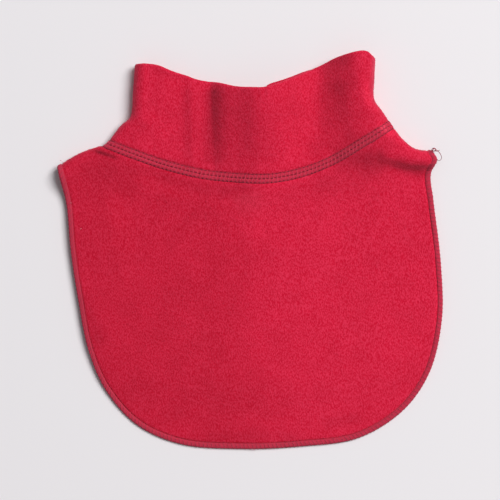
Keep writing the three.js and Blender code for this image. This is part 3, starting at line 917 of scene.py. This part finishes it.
class NECKWARMER_OT_collar(bpy.types.Operator):
    """Make the stand-up collar: fleece folded double at the mouth, its two plies open towards the seam"""

    bl_idname = "neckwarmer.collar"
    bl_label = "Collar"
    bl_options = {"REGISTER", "UNDO"}

    def execute(self, context):
        sizes = context.scene.neckwarmer_cloth
        cloth = Cloth({"fold": 12, "front": 190, "roll": 14, "back": 110})
        seam = (SEAM_WIDTH / 2 + BAND_PLAY) * cloth.slant(np.full((len(cloth.front), 1), -BESIDE))
        top = -(cloth.collar_length - COLLAR_CLOTH / 2)
        distance = top + (-seam - top) * np.linspace(0, 1, 62) ** 0.95
        p, n = cloth.face(distance)
        front = cloth.front[:, None]
        pile = lumps(p, 1.9, 1) * 0.6 + lumps(p, 1.1, 2) * 0.4
        drawn = groove(distance + seam) * sizes.groove / MM * (0.5 + 0.5 * front)
        lift = pile * sizes.pile / MM * front - drawn
        ply = (COLLAR_CLOTH - PLY_SLIT) / 2
        slit_rows = np.r_[2, np.arange(8, distance.shape[1], 8), distance.shape[1] - 1]
        outer = p + n * lift[..., None]
        inner = p - n * (COLLAR_CLOTH - 0.1 + 0.1 * lumps(p, 1.9, 3))[..., None]
        slit_out = (p - n * ply)[:, slit_rows]
        slit_in = (p - n * (ply + PLY_SLIT))[:, slit_rows]
        end = unit(p[:, 0] - p[:, 1]) * COLLAR_CLOTH / 2
        mouth = half_round(outer[:, 0], inner[:, 0], end, 7)[:, ::-1]
        sections = np.concatenate([outer, slit_out[:, ::-1], slit_in, inner[:, ::-1], mouth], 1)
        material = fleece("collar_fleece", context.scene.neckwarmer_look)
        piece = fleece_piece("collar_fleece", sections, cloth, material)
        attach(piece, "root")
        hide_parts("collar")
        return {"FINISHED"}


class NECKWARMER_OT_bib(bpy.types.Operator):
    """Make the bib: a ply of fleece folded over the shoulders into a long front and a short back lobe"""

    bl_idname = "neckwarmer.bib"
    bl_label = "Bib"
    bl_options = {"REGISTER", "UNDO"}

    def execute(self, context):
        sizes = context.scene.neckwarmer_cloth
        cloth = Cloth({"fold": 8, "front": 188, "roll": 26, "back": 84})
        first = (SEAM_WIDTH / 2 + BAND_PLAY) * cloth.slant(np.full((len(cloth.front), 1), BESIDE))
        edge = cloth.slant(cloth.bib_length - BESIDE)
        last = cloth.bib_length - (HEM_WIDTH + BAND_PLAY) * edge
        distance = first + (last - first) * np.linspace(0, 1, 150)
        p, n = cloth.face(distance)
        front = cloth.front[:, None]
        pile = lumps(p, 2.0, 4) * 0.6 + lumps(p, 1.3, 5) * 0.4
        slack = lumps(p, 31.0, 6) * 0.6 + lumps(p, 17.0, 7) * 0.4
        loose = 1 - groove(distance - first, 12) - groove(last - distance, 12)
        drawn = groove(distance - first) + groove(last - distance) * 1.4
        lift = (pile * sizes.pile + slack * sizes.slack * loose - drawn * sizes.groove) / MM * front
        sections = closed_strip(p, n, BIB_CLOTH, lift)
        look = context.scene.neckwarmer_look
        piece = fleece_piece("bib_fleece", sections, cloth, fleece("bib_fleece", look, look.brushed))
        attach(piece, "root")
        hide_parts("bib")
        return {"FINISHED"}


# Where the outer rows of needle holes lie, as a share of the seam's half width
OUTER_ROW = 0.88
# Between these places the looper thread turns from a zigzag into rungs
RUNGS_FROM_TO = (46, 66)
# The seam's relief in millimetres: its ridges, how far it is sunk, and its needle holes' size and depths
RIDGE = 0.45
SUNK = 0.25
HOLE_ACROSS = 0.42
HOLE_ALONG = 0.55
HOLE_DEPTHS = ((-1, 0.6), (0, 0.9), (1, 0.6))


def seam_height(w, to_hole, pitch, holes=1.0):
    """The neck seam's relief: |sin πw| ridges between three needle rows at w = -1, 0 and 1, with a pit of
    exp(-(across/HOLE_ACROSS)²-(along/HOLE_ALONG)²) at every hole."""
    ridges = np.abs(np.sin(np.pi * w)) ** 0.8 * (0.8 + 0.2 * np.cos(2 * np.pi * to_hole))
    along = (to_hole * pitch / HOLE_ALONG) ** 2
    pits = 0
    for row, depth in HOLE_DEPTHS:
        across = (w - row) * SEAM_WIDTH / 2 / HOLE_ACROSS
        pits = pits + depth * np.exp(-(across**2) - along)
    return RIDGE * ridges - SUNK - pits * holes


class NECKWARMER_OT_neck_seam(bpy.types.Operator):
    """Make the flat seam between collar and bib: a band with two ridges between three rows of needle holes,
    its needle threads, and the looper thread that crosses it"""

    bl_idname = "neckwarmer.neck_seam"
    bl_label = "Neck seam"
    bl_options = {"REGISTER", "UNDO"}

    def execute(self, context):
        scene = context.scene
        pitch = scene.neckwarmer_stitch.pitch / MM
        cloth = Cloth({"fold": 16, "front": 470, "roll": 30, "back": 330}, (0.75, 1.0, 17), (0.0, 0.2, 17))
        sewn = cloth.at(np.zeros((len(cloth.front), 1)))[:, 0]
        far = running_length(np.vstack([sewn, sewn[:1]]))
        count = round(far[-1] / pitch)
        phase = far * count / far[-1]
        w = np.linspace(-1, 1, 19)
        above = cloth.slant(np.full((len(sewn), 1), -BESIDE))
        below = cloth.slant(np.full((len(sewn), 1), BESIDE))
        distance = w * (SEAM_WIDTH / 2) * np.where(w < 0, above, below)
        p, n = cloth.face(distance)
        front = cloth.front[:, None]
        to_hole = (phase[:-1, None] + 0.5) % 1 - 0.5
        shown = 0.15 + 0.85 * front
        lift = seam_height(w / OUTER_ROW, to_hole, pitch) * shown
        sections = closed_strip(p, n, SEAM_CLOTH, lift)
        material = fleece("seam_fleece", scene.neckwarmer_look, stitched=0.45)
        piece = fleece_piece("neck_seam_band", sections, cloth, material)
        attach(piece, "root")
        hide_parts("neck_seam")
        self.threads(scene, Band(p, phase, shown[:, 0]), count)
        return {"FINISHED"}

    def threads(self, scene, band, count):
        """Needle threads along the three rows, from hole to hole, and a looper thread that zigzags over the
        band. On the right it lies straight across, as rungs."""
        sizes, look = scene.neckwarmer_stitch, scene.neckwarmer_look
        middle = (band.grid.shape[1] - 1) / 2
        n = np.arange(count)[:, None]
        s = np.linspace(0, 1, 8)
        rise = np.sin(np.pi * s) ** 0.6
        rows = []
        for row, depth in ((-OUTER_ROW, 0.65), (0.0, 1.0), (OUTER_ROW, 0.65)):
            height = depth * (0.95 * rise - 1.0)
            rows.append(band.at(n + s, middle * (1 + row), height))
        paths = np.concatenate(rows)
        material = thread("needle_thread", look, look.thread, look.thread_shade)
        piece = tubes("neck_seam_needle_threads", paths, sizes.radius / MM, sizes.sides, material)
        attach(piece, "root")

        x = band.at(n + 0.5, middle, 0.0)[..., 0]
        upright = smooth(*RUNGS_FROM_TO, x)
        across = np.linspace(-0.86, 0.86, 13)
        relief = seam_height(across / OUTER_ROW, 0.5, sizes.pitch / MM, 0.0)
        dip = np.maximum(np.abs(across) - 0.70, 0) * 5.0
        zigzag = np.abs(across) * 0.5 * (1 - upright)
        crossing = band.at(n + 0.5 - zigzag, middle * (1 + across), relief + 0.08 - dip * 0.8)
        material = thread("looper_thread", look, look.looper, look.band)
        piece = tubes("neck_seam_looper_thread", crossing, sizes.looper / MM, sizes.sides, material)
        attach(piece, "root")


# One overlock loop: stitch is how far along, place is where in the hem's section, height is above its face
LOOP = table("stitch place height", [
    [0.00, 0.2, -0.60], [0.05, 0.9, -0.10], [0.14, 2.2, 0.02], [0.26, 4.2, 0.06], [0.38, 6.0, 0.06],
    [0.44, 7.6, 0.05], [0.48, 9.5, 0.04], [0.52, 11.4, 0.04], [0.60, 13.2, 0.03], [0.74, 15.2, 0.02],
    [0.88, 17.2, 0.00], [0.98, 18.6, -0.40],
])


class NECKWARMER_OT_hem(bpy.types.Operator):
    """Make the hem: the bib's edge, compressed and rounded, with the overlock loops round it and its needle
    thread"""

    bl_idname = "neckwarmer.hem"
    bl_label = "Hem"
    bl_options = {"REGISTER", "UNDO"}

    def execute(self, context):
        scene = context.scene
        cloth = Cloth({"fold": 16, "front": 560, "roll": 40, "back": 420}, (0.98, 1.0, 3), (0.0, 1.0, 61))
        edge = cloth.slant(cloth.bib_length - BESIDE)
        first = cloth.bib_length - HEM_WIDTH * edge
        last = cloth.bib_length - HEM_CLOTH / 2 * edge
        distance = first + (last - first) * np.linspace(0, 1, 7)
        p, n = cloth.face(distance)
        front = cloth.front[:, None]
        lift = (0.5 - 0.6 * groove(distance - first, 0.6)) * front
        sections = closed_strip(p, n, HEM_CLOTH, lift, 6)
        sizes, look = scene.neckwarmer_stitch, scene.neckwarmer_look
        piece = fleece_piece("hem_band", sections, cloth, fleece("hem_fleece", look, stitched=0.65))
        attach(piece, "root")
        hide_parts("hem")

        far = running_length(np.vstack([p[:, 3], p[:1, 3]]))
        count = round(far[-1] / (sizes.pitch / MM))
        band = Band(sections, far * count / far[-1], 0.35 + 0.65 * cloth.front)
        n = np.arange(count)[:, None]
        loops = band.at(n + LOOP["stitch"], LOOP["place"], LOOP["height"])
        material = thread("overlock_thread", look, look.band, look.band)
        piece = tubes("hem_overlock_loops", loops, sizes.looper / MM, sizes.sides - 1, material)
        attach(piece, "root")

        s = np.linspace(0, 1, 7)
        row = band.at(n + s, 0.25, -1.1 + 0.9 * np.sin(np.pi * s) ** 0.6)
        material = thread("hem_needle_thread", look, look.band, look.thread)
        piece = tubes("hem_needle_threads", row, sizes.radius / MM, sizes.sides, material)
        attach(piece, "root")
        return {"FINISHED"}


# The loose end of the overlock thread at the right shoulder's tip: it curls twice, then hangs out in a bow
TAIL = table("x y z", [
    [123.0, 65.3, 11.2], [121.9, 66.2, 12.0], [123.0, 67.4, 12.4], [124.4, 66.9, 12.2], [124.1, 65.5, 11.8],
    [122.7, 65.6, 12.3], [123.2, 67.1, 12.9], [124.9, 66.2, 12.4], [126.6, 64.9, 11.0], [128.0, 63.1, 9.2],
    [128.6, 61.2, 7.6], [128.1, 59.8, 6.6], [126.7, 59.2, 6.3], [125.6, 59.9, 6.6],
])
WISP = table("x y z", [[123.6, 66.0, 12.0], [125.2, 65.4, 12.2], [127.2, 66.1, 11.8]])

# Lint and single fibres that lie on the front: x y, its height above the table, its length and its turn
LINT = table("x y height length turn", [
    [-111.7, 13.9, 6.6, 1.6, 0.6], [-118.3, 31.1, 6.6, 1.5, -0.9], [-124.2, 58.6, 7.6, 3.2, 2.2],
    [3.0, -133.4, 2.0, 3.4, -0.5],
])


class NECKWARMER_OT_thread_tail(bpy.types.Operator):
    """Make the loose end of the overlock thread that curls at the right shoulder's tip"""

    bl_idname = "neckwarmer.thread_tail"
    bl_label = "Thread tail"
    bl_options = {"REGISTER", "UNDO"}

    def execute(self, context):
        sizes, look = context.scene.neckwarmer_stitch, context.scene.neckwarmer_look
        shares = np.linspace(0, 1, 90)
        paths = [spline(np.stack(list(rows.values()), -1), shares) for rows in (TAIL, WISP)]
        radius = sizes.radius * 1.2 / MM * (1 - 0.5 * shares**3)
        material = thread("loose_thread", look, look.thread, look.thread_shade)
        piece = tubes("thread_tail", np.stack(paths) + TABLE_ZERO, radius, sizes.sides, material)
        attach(piece, "root")
        return {"FINISHED"}


# Rows of places for fibres between a piece's edges, points along a fibre, and fibres' range of lengths
FUZZ_ROWS = 160
FIBRE_POINTS = 4
FIBRE_LENGTH = (0.8, 1.7)


class NECKWARMER_OT_fuzz(bpy.types.Operator):
    """Make the fuzz: fine fibres that stand out of the brushed fleece at a slant"""

    bl_idname = "neckwarmer.fuzz"
    bl_label = "Fuzz"
    bl_options = {"REGISTER", "UNDO"}

    def execute(self, context):
        look = context.scene.neckwarmer_look
        cloth = Cloth({"fold": 24, "front": 500, "roll": 40, "back": 12})
        rng = np.random.default_rng(11)
        stations = np.flatnonzero(cloth.front > 0.3)
        pieces = (
            ("collar_fuzz", 2600, -cloth.collar_length, -SEAM_WIDTH / 2 - 1, 0.9),
            ("bib_fuzz", 6400, SEAM_WIDTH / 2 + 1, cloth.bib_length - HEM_WIDTH - 1, 1.0),
        )
        # The power draws the collar's rows a little towards the seam
        for name, count, start, end, power in pieces:
            rows = start + (end - start) * np.linspace(0, 1, FUZZ_ROWS) ** power
            p, n = cloth.face(np.broadcast_to(rows, (len(cloth.front), FUZZ_ROWS)))
            where = rng.choice(stations, count), rng.integers(0, FUZZ_ROWS, count)
            root, out = p[where], n[where]
            lean = unit(rng.normal(0, 1, (count, 3)) - [0.0, 0.8, 0.0])
            lean -= (lean * out).sum(-1, keepdims=True) * out
            length = rng.uniform(*FIBRE_LENGTH, (count, 1, 1))
            s = np.linspace(0, 1, FIBRE_POINTS)[:, None]
            rise = out[:, None] * (s - 0.55 * s * s) * 0.75
            paths = root[:, None] - out[:, None] * 0.15 + length * (rise + lean[:, None] * s * s * 0.7)
            radius = look.fibre / MM * (1 - 0.6 * s[:, 0])
            piece = tubes(name, paths, radius, 3, fleece(name, look))
            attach(piece, "root")
        return {"FINISHED"}


class NECKWARMER_OT_lint(bpy.types.Operator):
    """Make the lint and the single loose fibres that lie on the front"""

    bl_idname = "neckwarmer.lint"
    bl_label = "Lint"
    bl_options = {"REGISTER", "UNDO"}

    def execute(self, context):
        look = context.scene.neckwarmer_look
        s = np.linspace(-0.5, 0.5, 12)
        x, y, height, length, turn = (column[:, None] for column in LINT.values())
        bend = turn + 2.2 * s * s
        paths = np.stack([x + length * s * np.cos(bend), y + length * s * np.sin(bend), height + 0 * s], -1)
        material = thread("lint", look, look.lint, look.thread)
        piece = tubes("lint", paths + TABLE_ZERO, look.fibre * 3 / MM, 5, material)
        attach(piece, "root")
        return {"FINISHED"}


# Half the floor's width, the place that the camera hangs over, and the height above the floor at which the
# frame's width is measured, in metres
FLOOR_REACH = 30
CAMERA_OVER = (-0.000125, 0.000397)
FRAME_LEVEL = 0.006
# How bright the sky is low down
LOW_SKY = 0.78


class NECKWARMER_OT_stage(bpy.types.Operator):
    """Make the pale floor, the soft lights and the camera straight above"""

    bl_idname = "neckwarmer.stage"
    bl_label = "Stage"
    bl_options = {"REGISTER", "UNDO"}

    def execute(self, context):
        scene = context.scene
        stage = scene.neckwarmer_stage
        floor_material = backdrop("floor", stage.floor)
        corners = np.array([[-1, -1, 0], [1, -1, 0], [1, 1, 0], [-1, 1, 0]]) * FLOOR_REACH / MM
        floor = mesh_piece("floor", corners, [np.array([[0, 1, 2, 3]])], floor_material)

        softbox = bpy.data.lights.new("key", "AREA")
        softbox.shape = "DISK"
        softbox.energy, softbox.size, softbox.color = stage.key, stage.key_size, (1.0, 0.985, 0.98)
        key = bpy.data.objects.new("key", softbox)
        key.location = SOFTBOX
        key.rotation_mode = "QUATERNION"
        key.rotation_quaternion = (key.location - Vector(SOFTBOX_AIM)).to_track_quat("Z", "Y")
        key.visible_camera = False
        scene.collection.objects.link(key)

        world = bpy.data.worlds.new("studio")
        world.use_nodes = True
        sky = Nodes(world.name, world.node_tree)
        direction = sky.add("ShaderNodeTexCoord", out="Generated")
        up = sky.add("ShaderNodeSeparateXYZ", {}, {0: direction}, out="Z")
        strength = up.step(0.12, 0.02) * (LOW_SKY - stage.fill) + stage.fill
        sky.finish_world((0.985, 0.985, 1.0, 1.0), strength)
        scene.world = world
        scene.view_settings.view_transform = "Standard"

        camera_data = bpy.data.cameras.new("camera")
        camera_data.lens = camera_data.sensor_width * (stage.height - FRAME_LEVEL) / stage.frame_width
        camera_data.clip_end = 20
        camera = bpy.data.objects.new("camera", camera_data)
        camera.location = (*CAMERA_OVER, stage.height)
        scene.collection.objects.link(camera)
        scene.camera = camera
        return {"FINISHED"}


class NECKWARMER_PT_panel(bpy.types.Panel):
    """The neck warmer's pieces, one button each"""

    bl_label = "Neck Warmer"
    bl_idname = "NECKWARMER_PT_panel"
    bl_space_type = "VIEW_3D"
    bl_region_type = "UI"
    bl_category = "Neck Warmer"

    def draw(self, context):
        for operator in OPERATORS:
            self.layout.operator(operator.bl_idname)
        for name, group in GROUPS.items():
            box = self.layout.box()
            for prop in group.__annotations__:
                box.prop(getattr(context.scene, name), prop)


GROUPS = {
    "neckwarmer_cloth": NECKWARMER_PG_cloth,
    "neckwarmer_look": NECKWARMER_PG_look,
    "neckwarmer_stitch": NECKWARMER_PG_stitch,
    "neckwarmer_stage": NECKWARMER_PG_stage,
}
OPERATORS = [
    NECKWARMER_OT_stage,
    NECKWARMER_OT_collar,
    NECKWARMER_OT_bib,
    NECKWARMER_OT_neck_seam,
    NECKWARMER_OT_hem,
    NECKWARMER_OT_thread_tail,
    NECKWARMER_OT_fuzz,
    NECKWARMER_OT_lint,
]


def register():
    """Make the classes and the scene's settings known to Blender."""
    for cls in (*GROUPS.values(), *OPERATORS, NECKWARMER_PT_panel):
        bpy.utils.register_class(cls)
    for name, group in GROUPS.items():
        setattr(bpy.types.Scene, name, PointerProperty(type=group))


def unregister():
    """Take them away again."""
    for name in GROUPS:
        delattr(bpy.types.Scene, name)
    for cls in reversed((*GROUPS.values(), *OPERATORS, NECKWARMER_PT_panel)):
        bpy.utils.unregister_class(cls)


def main():
    """Run every operator in order."""
    register()
    for operator in OPERATORS:
        group, name = operator.bl_idname.split(".")
        getattr(getattr(bpy.ops, group), name)()


if __name__ == "__main__":
    main()
